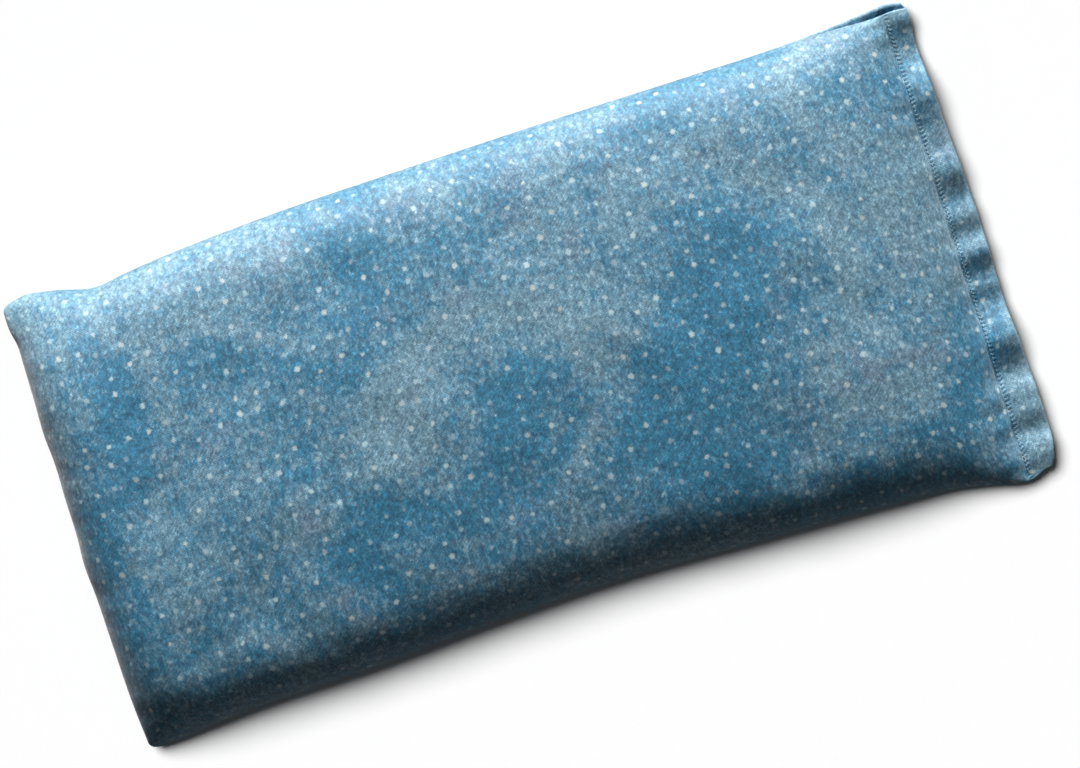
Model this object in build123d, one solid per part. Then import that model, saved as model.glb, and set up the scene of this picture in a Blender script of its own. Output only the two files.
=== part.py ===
from build123d import *

import math
import os

# Eye pillow: a flat sewn cotton bag filled with flaxseed and closed at one end by a
# topstitched flange. +X runs along the length towards the closing flange, +Y across
# the width, +Z up. The origin is the middle of the bounding box at its lowest face, and
# the flat underside lies on z = 0. All sizes are in millimetres.

# ---- driving dimensions -------------------------------------------------------------
HALF_LENGTH = 110.5  # far end seam at -X, tip of the closing flange at +X
STITCH_X = 103.0  # where the filled body is pinched shut; the flange starts here
SEAM_HEIGHT = 4.5  # the seam line above the floor
CROWN_HEIGHT = 21.5  # the highest point of the upper side above the floor
BELLY_DEPTH = 8.0  # how far the lower side would hang below the seam with no floor
CLOTH = 0.45  # thickness of one layer of cotton
LAYER_GAP = 0.1  # air left between two layers that lie on each other
SEAM_ALLOWANCE = 6.0  # width of the turned-in edge along the three hidden seams
HEM_DEPTH = 12.0  # how far the closing edges are folded in
END_RUN = 70.0  # distance over which an end rises to its full height
ROUNDNESS = 2.6  # how quickly an end rises: larger is blunter
SHOULDER = 0.72  # fullness of the sides of a cross-section, 0 to 1
FLATNESS = 0.55  # fullness of its top and bottom, 0 to 1

# Side edges of the filled body as (x, y): full at the ends and drawn in between them
# by the filling, with a dip beside the ear of one far corner.
HIGH_EDGE = [(-110.5, 51.0), (-103, 52.6), (-89, 50.6), (-50, 53.8), (0, 55.1), (88, 55.6), (103, 57.0)]
LOW_EDGE = [(-110.5, -54.4), (-100, -55.3), (-60, -54.0), (0, -51.8), (50, -53.2), (88, -54.6), (103, -57.2)]

# Closing flange: its free edge runs slightly askew, from one corner to the other.
FLANGE_LOW = (106.6, -57.5)
FLANGE_TIP = (110.5, -53.6)
FLANGE_HIGH_X = 108.4
FLANGE_LAP = 0.3  # how far the flange runs back into the body
FRONT_CORNER_Y = 56.0
BACK_CORNER_Y = 57.5
TIP_RADIUS = 2.5
CORNER_RADIUS = 1.0

# Thread and stitches.
THREAD_RADIUS = 0.12
THREAD_SIDES = 8  # the hidden thread is pressed into an eight-sided section
HOLE_RADIUS = 0.17
TOPSTITCH_PITCH = 1.0
TOPSTITCH_OFFSET = 0.7  # from the pinch line to the stitches
TOPSTITCH_LOW_MARGIN = 2.0  # from the flange's lower edge to the first stitch
TOPSTITCH_HIGH_MARGIN = 1.5  # from the last stitch to its upper edge
STITCH_SPACING = 0.1  # between one stitch and the next
HOLE_OVERRUN = 0.2  # how far a needle hole is cut past each face
SEAM_THREAD_INSET = 2.0  # hidden seam thread, in from the outer edge
SEAM_THREAD_STOP = 5.0  # where its runs stop, in from the corners

# Filling.
INNER_END_GAP = 1.0  # how far the room inside the cover stops short of each end
SEED_END_GAP = 1.6  # the same for the seed
FILL_GAP = 0.12  # between the seed and the cloth
SLOT_HALF = 0.95  # room in the seed for the allowances and their stitches
SLOT_MARGIN = 0.5  # how far that room runs past the allowances and the hem
HEM_SIDE_GAP = 1.0  # from the sides of the hem's tail to the side seams
BUD_COUNT = 42
BUD_LENGTH = 4.6
BUD_RADIUS = 1.0
BUD_GAP = 0.06
BUD_REACH = (82, 40)  # how far the buds spread from their middle
BUD_MIDDLE = (-4, 1)
BUD_HEIGHTS = (12.0, 6.5)  # taken in turn
BUD_TILT = 25
BUD_TURN = 53

OVERSIZE = (300, 200, 40)  # block larger than the pillow, for cuts at a level

HALF_GAP = LAYER_GAP / 2
HALF_STACK = HALF_GAP + CLOTH  # from the seam line to the far side of one allowance
HALF_FLANGE = HALF_STACK + LAYER_GAP + CLOTH  # the same to the flange's outer side


def along(points, x):
    """Smooth curve through a list of (x, y) points, read at x."""
    i = 0
    while i < len(points) - 2 and x > points[i + 1][0]:
        i += 1
    slopes = []
    for j in (i, i + 1):
        before, after = points[max(j - 1, 0)], points[min(j + 1, len(points) - 1)]
        slopes.append((after[1] - before[1]) / (after[0] - before[0]))
    (x0, y0), (x1, y1) = points[i], points[i + 1]
    run = x1 - x0
    t = (x - x0) / run
    start = (1 + 2 * t) * (1 - t) ** 2 * y0 + t * (1 - t) ** 2 * run * slopes[0]
    end = t**2 * (3 - 2 * t) * y1 - t**2 * (1 - t) * run * slopes[1]
    return start + end


def swell(x, inset):
    """0 at both ends of the filled body and 1 in the middle, with round shoulders."""
    full = 1.0
    for distance in (x + HALF_LENGTH - inset, STITCH_X - x - inset):
        t = min(max(distance / END_RUN, 0), 1)
        full *= math.sqrt(1 - (1 - t) ** ROUNDNESS)
    return full


def quarter(x, middle, side, start, apex):
    """Points of one quarter of a cross-section, from the side seam to the middle."""
    return [
        (x, side, start),
        (x, side, start + SHOULDER * (apex - start)),
        (x, middle + FLATNESS * (side - middle), apex),
        (x, middle, apex),
    ]


def half_section(x, inset, side, start):
    """Half of a cross-section at x: the part above (side 1) or below (side -1) start."""
    high = along(HIGH_EDGE, x) - inset
    low = along(LOW_EDGE, x) + inset
    middle = (high + low) / 2
    depth = CROWN_HEIGHT - SEAM_HEIGHT - HALF_STACK if side > 0 else BELLY_DEPTH - HALF_STACK
    apex = SEAM_HEIGHT + side * (HALF_STACK + depth * swell(x, inset) - inset)
    first = Bezier(*quarter(x, middle, high, start, apex))
    second = Bezier(*quarter(x, middle, low, start, apex)[::-1])
    return Wire([first, second, Line(second @ 1, first @ 0)])


def half_body(side, inset, end_gap, start_gap):
    """Upper or lower half of the filled body, drawn in by inset; flat on the floor."""
    start, end = -HALF_LENGTH + end_gap, STITCH_X - end_gap
    base = SEAM_HEIGHT + side * start_gap
    steps = [0, 0.006, 0.02, 0.045, 0.09, 0.16, 0.26, 0.38]
    shares = steps + [0.5] + [1 - s for s in reversed(steps)]
    sections = [half_section(start + s * (end - start), inset, side, base) for s in shares]
    loft = Solid.make_loft(sections)
    if side > 0:
        return loft
    above = Box(*OVERSIZE, align=(Align.CENTER, Align.CENTER, Align.MIN))
    return loft & Pos(0, 0, inset) * above


def slab(face, low, high):
    """A plan face as a plate from low to high, measured from the seam line."""
    return Pos(0, 0, SEAM_HEIGHT + low) * extrude(face, amount=high - low, dir=(0, 0, 1))


def outline(inset):
    """Plan outline of the filled body, drawn in by inset, as a face."""
    start, end = -HALF_LENGTH + inset, STITCH_X
    xs = [start + (end - start) * i / 16 for i in range(17)]
    high = Spline(*[(x, along(HIGH_EDGE, x) - inset, 0) for x in xs])
    low = Spline(*[(x, along(LOW_EDGE, x) + inset, 0) for x in xs])
    return make_face([high, low, Line(high @ 0, low @ 0), Line(high @ 1, low @ 1)])


def flange_outline(corner_y, inset):
    """Plan outline of the closing flange, drawn in by inset."""
    start = STITCH_X - FLANGE_LAP
    points = [
        (start, FLANGE_LOW[1] + inset),
        (FLANGE_LOW[0], FLANGE_LOW[1] + inset),
        (FLANGE_TIP[0] - inset, FLANGE_TIP[1]),
        (FLANGE_HIGH_X - inset, corner_y - inset),
        (start, corner_y - inset),
    ]
    face = make_face(Polyline(*points, close=True))
    for i, radius in ((1, TIP_RADIUS), (2, TIP_RADIUS), (3, CORNER_RADIUS)):
        corner = face.vertices().sort_by_distance((*points[i], 0))[0]
        face = fillet([corner], radius)
    return face


def seam_thread(side):
    """Thread of the hidden seam, on the outside of one allowance: a side, an end, a side."""
    inset, stop = SEAM_THREAD_INSET, SEAM_THREAD_STOP
    height = SEAM_HEIGHT + side * (HALF_STACK + THREAD_RADIUS)
    start, end = -HALF_LENGTH + stop, STITCH_X - stop
    xs = [start + (end - start) * i / 12 for i in range(13)]
    far = -HALF_LENGTH + inset
    runs = [
        Spline(*[(x, along(HIGH_EDGE, x) - inset, height) for x in xs]),
        Line((far, HIGH_EDGE[0][1] - stop, height), (far, LOW_EDGE[0][1] + stop, height)),
        Spline(*[(x, along(LOW_EDGE, x) + inset, height) for x in xs]),
    ]
    section = RegularPolygon(THREAD_RADIUS, THREAD_SIDES)
    return Compound([sweep(Plane(run ^ 0) * section, path=run) for run in runs])


def topstitch_places():
    """Where each closing stitch starts, and its heading."""
    low, high = FLANGE_LOW[1] + TOPSTITCH_LOW_MARGIN, FRONT_CORNER_Y - TOPSTITCH_HIGH_MARGIN
    count = int((high - low) / TOPSTITCH_PITCH)
    x = STITCH_X + TOPSTITCH_OFFSET
    return [(Vector(x, low + i * TOPSTITCH_PITCH, SEAM_HEIGHT), 90) for i in range(count)]


def stitches(places, side):
    """Separate stitches: a bar on the cloth and a leg down to the middle of the stack."""
    length = TOPSTITCH_PITCH - 2 * THREAD_RADIUS - STITCH_SPACING
    height = side * (HALF_FLANGE + THREAD_RADIUS)
    bar = Pos(length / 2, 0, height) * Rot(0, 90, 0) * Cylinder(THREAD_RADIUS, length)
    leg = Pos(THREAD_RADIUS, 0, height / 2) * Cylinder(THREAD_RADIUS, abs(height))
    stitch = bar + leg
    return Compound([Pos(place) * Rot(0, 0, heading) * stitch for place, heading in places])


def needle_holes(places):
    """Needle holes through the closing flange, one for each stitch."""
    hole = Pos(THREAD_RADIUS, 0, 0) * Cylinder(HOLE_RADIUS, 2 * (HALF_FLANGE + HOLE_OVERRUN))
    return [Pos(place) * Rot(0, 0, heading) * hole for place, heading in places]


def allowance(side):
    """The edge of one panel that is turned in along the three hidden seams."""
    band = sorted((HALF_GAP * side, HALF_STACK * side))
    return slab(outline(CLOTH / 2), *band) - slab(outline(SEAM_ALLOWANCE), *band)


def flange(side):
    """Outer layer and turned-in hem of one panel, folded at the flange's free edge."""
    corner_y = FRONT_CORNER_Y if side > 0 else BACK_CORNER_Y
    whole = slab(flange_outline(corner_y, 0), *sorted((HALF_GAP * side, HALF_FLANGE * side)))
    fold_gap = sorted((HALF_STACK * side, (HALF_STACK + LAYER_GAP) * side))
    folded = whole - slab(flange_outline(corner_y, CLOTH), *fold_gap)
    return folded - needle_holes(topstitch_places())


def hem_tail(side):
    """The end of the turned-in hem, past the topstitch and inside the body."""
    start, end = HALF_LENGTH - HEM_DEPTH, STITCH_X
    low, high = along(LOW_EDGE, start) + HEM_SIDE_GAP, along(HIGH_EDGE, start) - HEM_SIDE_GAP
    strip = make_face(Polyline((start, low), (end, low), (end, high), (start, high), close=True))
    return slab(strip, *sorted((HALF_GAP * side, HALF_STACK * side)))


def panel(side):
    """One cotton panel: half the cover, its allowances and its hem."""
    skin = half_body(side, 0, 0, HALF_GAP) - half_body(side, CLOTH, INNER_END_GAP, 0)
    return skin + allowance(side) + hem_tail(side) + flange(side)


def lavender_bud(grow):
    """One dried bud: a small tapered barrel, grown by grow on every side."""
    half, radius = BUD_LENGTH / 2 + grow, BUD_RADIUS + grow
    profile = [
        (-half, 0),
        (-half, radius * 0.5),
        (-half * 0.45, radius),
        (half * 0.3, radius),
        (half, radius * 0.3),
        (half, 0),
    ]
    return revolve(make_face(Polyline(*profile, close=True)), Axis.X)


def bud_places():
    """Buds spread through the seed on a spiral, at two depths."""
    turn = math.pi * (3 - math.sqrt(5))
    places = []
    for i in range(BUD_COUNT):
        reach = math.sqrt((i + 0.5) / BUD_COUNT)
        x = BUD_REACH[0] * reach * math.cos(i * turn) + BUD_MIDDLE[0]
        y = BUD_REACH[1] * reach * math.sin(i * turn) + BUD_MIDDLE[1]
        z = BUD_HEIGHTS[i % 2]
        places.append(Pos(x, y, z) * Rot(0, BUD_TILT * math.sin(i), BUD_TURN * i))
    return places


def flaxseed_fill():
    """The loose seed, as one bulk solid with room for the allowances and the buds."""
    inset = CLOTH + FILL_GAP
    seed = half_body(1, inset, SEED_END_GAP, 0) + half_body(-1, inset, SEED_END_GAP, 0)
    band = (-SLOT_HALF, SLOT_HALF)
    rim = slab(outline(-SLOT_MARGIN), *band) - slab(outline(SEAM_ALLOWANCE + SLOT_MARGIN), *band)
    beyond = Rectangle(*OVERSIZE[:2], align=(Align.MIN, Align.CENTER))
    hem = slab(Pos(HALF_LENGTH - HEM_DEPTH - SLOT_MARGIN, 0) * beyond, *band)
    return seed - rim - hem - [place * lavender_bud(BUD_GAP) for place in bud_places()]


def main():
    os.makedirs("parts", exist_ok=True)
    closing = topstitch_places()
    nodes = {
        "front_panel": panel(1),
        "back_panel": panel(-1),
        "closing_needle_thread": stitches(closing, 1),
        "closing_bobbin_thread": stitches(closing, -1),
        "seam_needle_thread": seam_thread(1),
        "seam_bobbin_thread": seam_thread(-1),
        "flaxseed_fill": flaxseed_fill(),
        "lavender_buds": Compound([place * lavender_bud(0) for place in bud_places()]),
    }
    for name, shape in nodes.items():
        export_step(shape, f"parts/{name}.step")


main()
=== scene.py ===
"""An eye pillow: a sewn cotton cover filled with flaxseed and a little lavender, on a pale floor.

The cover is two sheets of printed cotton. Each is one continuous surface: the puffed body, the edges turned
in along three hidden seams, the closing flange, and the hem folded back inside it. Lengths are in millimetres
until a mesh is made. x runs along the pillow to the closing flange, and y from its front to its rear. w is
the place across its width, from -1 at the front edge to 1 at the rear. side is 1 for the upper panel and -1
for the lower.
"""

import math

import bmesh
import bpy
import numpy as np
from mathutils import Matrix, Vector


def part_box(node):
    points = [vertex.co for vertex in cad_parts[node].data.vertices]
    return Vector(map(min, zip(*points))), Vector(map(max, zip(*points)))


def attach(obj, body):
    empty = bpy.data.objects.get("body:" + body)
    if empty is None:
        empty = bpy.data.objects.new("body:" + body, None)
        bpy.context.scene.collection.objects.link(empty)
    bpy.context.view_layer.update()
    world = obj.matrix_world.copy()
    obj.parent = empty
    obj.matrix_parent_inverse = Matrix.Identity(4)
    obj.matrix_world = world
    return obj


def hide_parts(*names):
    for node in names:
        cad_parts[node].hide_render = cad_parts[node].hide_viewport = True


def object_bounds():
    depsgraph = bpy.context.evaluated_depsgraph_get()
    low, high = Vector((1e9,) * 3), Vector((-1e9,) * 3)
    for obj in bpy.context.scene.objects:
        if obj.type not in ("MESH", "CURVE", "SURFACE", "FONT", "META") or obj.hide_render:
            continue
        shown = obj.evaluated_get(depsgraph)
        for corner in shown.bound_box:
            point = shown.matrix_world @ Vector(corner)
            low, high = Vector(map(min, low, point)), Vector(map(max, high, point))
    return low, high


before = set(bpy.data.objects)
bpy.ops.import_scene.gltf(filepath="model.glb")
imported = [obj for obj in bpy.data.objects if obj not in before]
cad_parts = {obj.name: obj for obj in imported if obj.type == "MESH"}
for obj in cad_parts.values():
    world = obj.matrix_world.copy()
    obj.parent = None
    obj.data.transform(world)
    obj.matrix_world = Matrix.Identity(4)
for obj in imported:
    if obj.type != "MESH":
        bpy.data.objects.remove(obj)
CAD_LOW, CAD_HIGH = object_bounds()

MM = 0.001
LEFT, FRONT, FLOOR = (value / MM for value in CAD_LOW)
RIGHT, REAR, CROWN = (value / MM for value in CAD_HIGH)
LENGTH = RIGHT - LEFT

# ---- sizes of the cover
CLOTH = 0.45  # thickness of one layer
RIM_RISE = 0.75  # from the seam line to the middle of the cloth where a side starts to curve
LAYER_RISE = 0.275  # the same for a layer that lies on the seam line
FLANGE_RISE = 0.825  # the same for the flange's outer layer, which lies on the hem
PINCH_RISE = 0.72  # the flange's outer layer where the stitches pull it down
STITCH_OFFSET = 0.7  # from the pinch that closes the body to the line of stitches
STITCH_PITCH = 1.0
HEM_END = 12.0  # how far the hem reaches back from the flange's free edge
HEM_INSET = 1.3  # the hem is this much narrower than the flange at each side
BACK_PEEK = 0.4  # the back layer's fold shows about this far beyond the front's
PEEK_SWING, PEEK_WAVE = 0.4, 9.0  # share by which that varies along the flange, and over what length
PEEK_END, PEEK_FADE = 54.0, 12.0  # how far from the middle it stops, and over what length

SHOULDER = 16.0  # width of the rounded shoulder along the rear
FRONT_SHOULDER = 15.2  # the same along the front
END_SHOULDER = 15.0  # the same at the seamed end
CLOSING_RISE = 46.0  # the body rises over this length from the closing pinch
BELLY_SHOULDER = 11.0  # how far in from the seam the underside meets the floor
CROWNING = 4.4  # how much the top is domed across its width
CORNER_SEAM = 3.6  # height of the seam line at the corners
SIDE_SEAM = 7.6  # and halfway along the long sides
END_SEAM = 6.4  # and at the middle of the seamed end
FLANGE_HEIGHT = 3.5  # middle of the flange's four layers
CURL = 0.55  # how steeply the back layer's uncovered edge curls up
END_SEAM_RUN, CLOSING_SEAM_RUN = 42.0, 50.0  # the side seams rise over these lengths from the two ends
END_SEAM_FADE = 40.0  # the seamed end's own rise dies away over this length
PINCH_FADE = 5.0  # and the flange's ripples over this length, going into the body
HALF_WIDTH = 57.0  # rough half of the cover's width, where only a scale is needed

TOP_CLEARANCE = 0.25  # between the crown and the top of the CAD box
DOME_POWER = 2.1  # how flat the dome is across the middle
DOME_FALL, DOME_CENTRE, DOME_REACH = 0.45, -4.0, 108.0  # share lost at the ends, its middle and half length
CLOSING_CURVE = (2.3, 0.72)  # how bluntly the top comes down to the closing pinch
# Corners that the seams hold flatter: (at the closing end, which side, share of the height lost, reach).
FLAT_CORNERS = ((False, 1, 0.62, 15.0), (False, -1, 0.35, 13.0), (True, 1, 0.2, 18.0), (True, -1, 0.2, 18.0))
# Lumps that the seed makes in the top: (seed of the draw, shortest and longest wavelength, height).
SEED_LUMPS = ((11, 16.0, 42.0, 0.12), (12, 5.0, 9.0, 0.03))
FLOOR_CLEARANCE = 0.02
BELLY_BLUNTNESS = 2.2
BELLY_CLOSING = (17.0, 2.2, 0.6)  # the underside's rise to the closing pinch: length, bluntness, power
PUCKER_WAVES = (4.5, 11.0, 16)  # shortest and longest wavelength along a seam, and how many waves
PUCKER_FADE = 3.5
# Puckers at the sides, the seamed end and the closing pinch: (seed of the draw, height, room to grow).
PUCKERS = ((31, 0.30, 1.5), (32, 0.26, 1.5), (33, 0.22, 1.0))
FLANGE_PUFF = 0.14  # the flange is this much thicker halfway along
PULL_REACH = 1.2  # the stitches pull the flange down over this distance
ROLL_DEPTH = 0.4  # folded rows deeper than this are mitred at the corners
MITRE = 6.0

# Grid of a panel: (spacing at the start, the end and between, and over what length it grows); then columns.
ROW_SPACING = (0.05, 1.15, 1.15, 15.0)
COLUMN_SPACING = (0.06, 0.3, 1.2, 16.0)
FLANGE_COLUMNS, TURN_COLUMNS, HEM_COLUMNS = 10, 5, 12
WEAR_REACH = 1.2  # the cloth is worn this far from its edges

# Cloth simulation of the body.
SIM_COLUMNS, SIM_ROWS = 61, 31
SIM_FRAMES = 20
SIM_SLACK = 0.0015  # how much larger the cloth is than the shape it starts from
SIM_CLOTH = {
    "quality": 7, "mass": 0.25, "tension_stiffness": 300, "compression_stiffness": 300,
    "shear_stiffness": 100, "bending_stiffness": 0.25, "tension_damping": 8, "compression_damping": 8,
    "use_pressure": True, "uniform_pressure_force": 0.02, "shrink_min": -SIM_SLACK,
}
SWELL_CELLS = 3  # movement that is smooth over this many cells is swelling, and isn't used
FOLD_SHARE = 0.35  # share of the finer movement that is used
FOLD_LIMIT = 0.45  # furthest that a place may move
FOLD_FADE = 5.0  # the folds die away over this distance to the rim

# The cover's outline as (share of the length, inset from the CAD box's side).
REAR_EDGE = [(0.0, 5.3), (0.02, 4.4), (0.05, 5.3), (0.097, 7.6), (0.13, 6.6), (0.175, 5.6), (0.285, 4.0),
             (0.425, 3.2), (0.613, 2.6), (0.816, 2.4), (0.91, 2.1), (0.957, 2.3), (0.98, 2.0), (1.0, 2.4)]
REAR_EDGE_BACK = REAR_EDGE[:-4] + [(0.91, 1.4), (0.957, 0.4), (0.973, 0.1), (0.99, 0.8), (1.0, 1.2)]
FRONT_EDGE = [(0.0, 2.1), (0.03, 2.2), (0.05, 2.6), (0.113, 3.9), (0.254, 4.8), (0.395, 6.4), (0.52, 7.1),
              (0.66, 6.0), (0.816, 4.6), (0.895, 3.3), (0.935, 1.4), (0.957, 0.2), (0.972, 0.2), (0.985, 1.3),
              (1.0, 2.1)]
# The seamed end as (place across the width from -1 to 1, inset from the box), and its corner radii.
END_EDGE = [(-1.0, 1.2), (-0.8, 0.5), (-0.5, 0.2), (-0.3, 0.0), (-0.17, -0.4), (-0.03, 0.0), (0.12, 0.0),
            (0.3, 0.1), (0.42, -0.3), (0.58, -0.1), (0.75, 0.0), (0.82, 0.0), (0.9, -0.8), (1.0, -0.9)]
END_CORNER = 1.5
# The flange's free edge as (distance from the middle, inset from the box).
FREE_EDGE = [(-57.5, 5.0), (-56.8, 2.6), (-55.4, 1.0), (-53.0, 0.1), (-41.0, -0.2), (-13.5, 0.5), (0.0, 0.5),
             (21.0, 1.3), (40.0, 1.9), (48.7, 2.1), (54.0, 1.7), (55.2, 1.9), (57.5, 3.2)]

# The ripples along the flange, as (distance from the middle, height). They grow towards its free edge.
RIPPLES = [(-58.0, -0.5), (-50.3, 0.25), (-46.4, -0.4), (-41.8, 0.35), (-39.9, 0.2), (-37.6, 0.35),
           (-33.0, -0.6), (-23.4, 0.95), (-18.8, -0.1), (-14.6, -0.9), (-11.6, -0.45), (-8.6, -0.7),
           (-3.3, 0.5), (1.0, -0.3), (5.9, 0.35), (10.0, -0.25), (17.4, 1.1), (22.0, 0.45), (28.7, 0.55),
           (35.8, 1.35), (45.7, -1.2), (50.0, -0.9), (53.5, -0.2), (58.0, -0.6)]
RIPPLE_START, RIPPLE_RUN = 4.0, 10.0  # the growth starts this far before the pinch, and over what length
RIPPLE_AT_PINCH, RIPPLE_GAIN = 0.50, 0.80
FINE_RIPPLE = (5, 0.4, 3.5, 7.0, 0.10)  # seed of the draw, stretch along x, wavelengths and height
FINE_FADE = 0.6  # share of it that is lost at the free edge

# Where the cloth rolls over the seam and turns in, as (inset from the rim, rise from the seam line).
ROLL = [(-0.10, 0.62), (-0.12, 0.46), (-0.02, 0.33), (0.35, LAYER_RISE)]
TURNED_IN = [(1.4, LAYER_RISE), (2.7, LAYER_RISE), (4.0, LAYER_RISE)]
FOLD = ROLL + TURNED_IN

PRINT_ORIGIN = {1: 0.5, -1: 1.1}  # where each panel's middle lies on the print, in metres
MARK_SCALE = 100.0  # the second UV map holds the distance past the stitches in these units, and the wear
WELD_CLOTH, WELD_SEED, WELD_THREAD = 0.02, 0.01, 0.001  # points closer than this become one

# A stitch as (share of its length, height over its line), its two plies, and where the stitches run.
STITCH_PATH = [(0.0, -1.0), (0.03, -0.3), (0.12, 0.45), (0.3, 0.85), (0.5, 1.0), (0.7, 0.85), (0.88, 0.45),
               (0.97, -0.3), (1.0, -1.0)]
STITCH_SIDES = 10
STITCH_TWIST = 3.2  # radians for each millimetre
PLY_GROOVE = 0.20
STITCH_STOPS = (1.8, 1.5)  # how far before the flange's front and rear edges the topstitches stop
STITCH_STRAY, STITCH_GAP, STITCH_CLEARANCE = 0.05, 0.07, 0.02
STITCH_SECTION = (0.17, 0.22)  # radius, and how deep the ends dip into the cloth
SEAM_INSET, SEAM_PITCH, SEAM_STOP, SEAM_GAP, SEAM_CLEARANCE = 2.0, 2.4, 7.0, 0.05, 0.04
SEAM_END_REACH = 0.86  # how far across the seamed end its stitches run
SEAM_SECTION = (0.15, 0.12)

# The filling.
BUDS, BUD_MARGIN, BUD_HEIGHTS = 42, 4.0, (11.6, 6.2)
BUD_ROOM, RIB_HEIGHT = 0.12, 0.09
SEED_COLUMNS, SEED_ROWS = 171, 111
SEED_MARGIN, SEED_SHORTER = 6.0, 15.0  # the seed stays this far in, and is this much shorter than the body
SEED_CLEARANCE, SEED_GRAIN, SEED_SHOULDER = 0.35, 0.16, 3.0


# ---- curves and fields
def through(points, x):
    """Smooth curve through (x, y) points, read at an array of x and level beyond its ends."""
    px, py = np.array(points, float).T
    x = np.clip(np.asarray(x, float), px[0], px[-1])
    slope = np.gradient(py, px)
    i = np.clip(np.searchsorted(px, x, side="right") - 1, 0, len(px) - 2)
    run = px[i + 1] - px[i]
    t = (x - px[i]) / run
    start = (1 + 2 * t) * (1 - t) ** 2 * py[i] + t * (1 - t) ** 2 * run * slope[i]
    end = t**2 * (3 - 2 * t) * py[i + 1] - t**2 * (1 - t) * run * slope[i + 1]
    return start + end


def smooth(t):
    """0 to 1 with level ends."""
    t = np.clip(t, 0, 1)
    return t * t * (3 - 2 * t)


def shoulder(distance, width, bluntness=2.6, power=0.5):
    """0 at the rim, rising steeply and rounding off to 1 at width."""
    t = np.clip(distance / width, 0, 1)
    return (1 - (1 - t) ** bluntness) ** power


def graded(length, start, end, middle, reach):
    """Places from 0 to length, spaced start and end apart at its ends and middle apart between them."""
    x = np.linspace(0, length, 4000)
    size = np.minimum(start + x * (middle - start) / reach, end + (length - x) * (middle - end) / reach)
    size = np.minimum(size, middle)
    passed = np.concatenate([[0], np.cumsum((1 / size[1:] + 1 / size[:-1]) / 2 * np.diff(x))])
    return np.interp(np.linspace(0, passed[-1], int(round(passed[-1])) + 1), passed, x)


def waves(seed, x, y, shortest, longest, count=40):
    """A smooth random field with wavelengths between two sizes and a typical height of 1."""
    rng = np.random.default_rng(seed)
    total = np.zeros(np.broadcast(x, y).shape)
    for _ in range(count):
        turn = 2 * math.pi / math.exp(rng.uniform(math.log(shortest), math.log(longest)))
        heading, phase = rng.uniform(0, 2 * math.pi, 2)
        total += np.cos(turn * (x * math.cos(heading) + y * math.sin(heading)) + phase)
    return total * math.sqrt(2 / count)


# ---- shape of the cover
STITCH_X = (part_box("closing_needle_thread")[0].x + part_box("closing_needle_thread")[1].x) / 2 / MM
PINCH_X = STITCH_X - STITCH_OFFSET


def rear_edge(x, side):
    return REAR - through(REAR_EDGE if side > 0 else REAR_EDGE_BACK, (x - LEFT) / LENGTH)


def front_edge(x):
    return FRONT + through(FRONT_EDGE, (x - LEFT) / LENGTH)


def end_edge(w):
    """The seamed end's x at w, from -1 at the front to 1 at the rear, with rounded corners."""
    half = (REAR - FRONT) / 2
    near = np.clip((np.abs(w) - 1) * half / END_CORNER + 1, 0, 1)
    return LEFT + through(END_EDGE, w) + END_CORNER * (1 - np.sqrt(1 - near**2))


def free_edge(y, side):
    """The flange's free edge. The back layer shows a little beyond the front one."""
    swing = 1 - PEEK_SWING + PEEK_SWING * np.sin(y / PEEK_WAVE)
    peek = 0 if side > 0 else BACK_PEEK * swing * smooth((PEEK_END - np.abs(y)) / PEEK_FADE)
    return RIGHT - through(FREE_EDGE, y) + peek


def across_body(x, w, side):
    """y at w, and the body's whole width there."""
    low, high = front_edge(x), rear_edge(x, side)
    return (low + high) / 2 + w * (high - low) / 2, high - low


def flange_middle(x, y):
    """Height of the middle of the flange's layers. The ripples grow towards its free edge."""
    reach = smooth((x - PINCH_X + RIPPLE_START) / RIPPLE_RUN)
    seed, stretch, shortest, longest, height = FINE_RIPPLE
    fine = height * waves(seed, x * stretch, y, shortest, longest)
    ripple = (RIPPLE_AT_PINCH + RIPPLE_GAIN * reach) * through(RIPPLES, y)
    return FLANGE_HEIGHT + ripple + fine * (1 - FINE_FADE * reach)


def seam_height(x, y, w):
    """Height of the seam line on the rim, carried inwards for every place on the body."""
    from_end, to_pinch = x - end_edge(w), PINCH_X - x
    along_side = smooth(from_end / END_SEAM_RUN) * smooth(to_pinch / CLOSING_SEAM_RUN)
    body = CORNER_SEAM + (SIDE_SEAM - CORNER_SEAM) * along_side
    body += (END_SEAM - CORNER_SEAM) * (1 - w**2) * (1 - smooth(from_end / END_SEAM_FADE))
    return body + (flange_middle(x, y) - body) * np.exp(-np.maximum(to_pinch, 0) / PINCH_FADE)


def top_height(x, y, w, d):
    """Height of the upper panel over the body: d is the distance from the nearer long side."""
    from_end, to_pinch = x - end_edge(w), PINCH_X - x
    rim = seam_height(x, y, w) + RIM_RISE
    fullness = shoulder(d, np.where(w < 0, FRONT_SHOULDER, SHOULDER)) * shoulder(from_end, END_SHOULDER)
    fullness = fullness * shoulder(to_pinch, CLOSING_RISE, *CLOSING_CURVE)
    for closing, corner_side, share_lost, reach in FLAT_CORNERS:
        along = to_pinch if closing else from_end
        across = (1 - corner_side * w) * (REAR - FRONT) / 2
        fullness = fullness * (1 - share_lost * np.exp(-(along**2 + across**2) / reach**2))
    fall = DOME_FALL * np.clip(np.abs(x - DOME_CENTRE) / DOME_REACH, 0, 1) ** 3
    dome = (1 - np.abs(w) ** DOME_POWER) * (1 - fall)
    top = CROWN - CLOTH / 2 - TOP_CLEARANCE - CROWNING * (1 - dome)
    (seed, *sizes, height), (fine_seed, *fine_sizes, fine_height) = SEED_LUMPS
    lumps = height * waves(seed, x, y, *sizes) + fine_height * waves(fine_seed, x, y, *fine_sizes)
    return rim + (top + lumps - rim) * fullness


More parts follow.
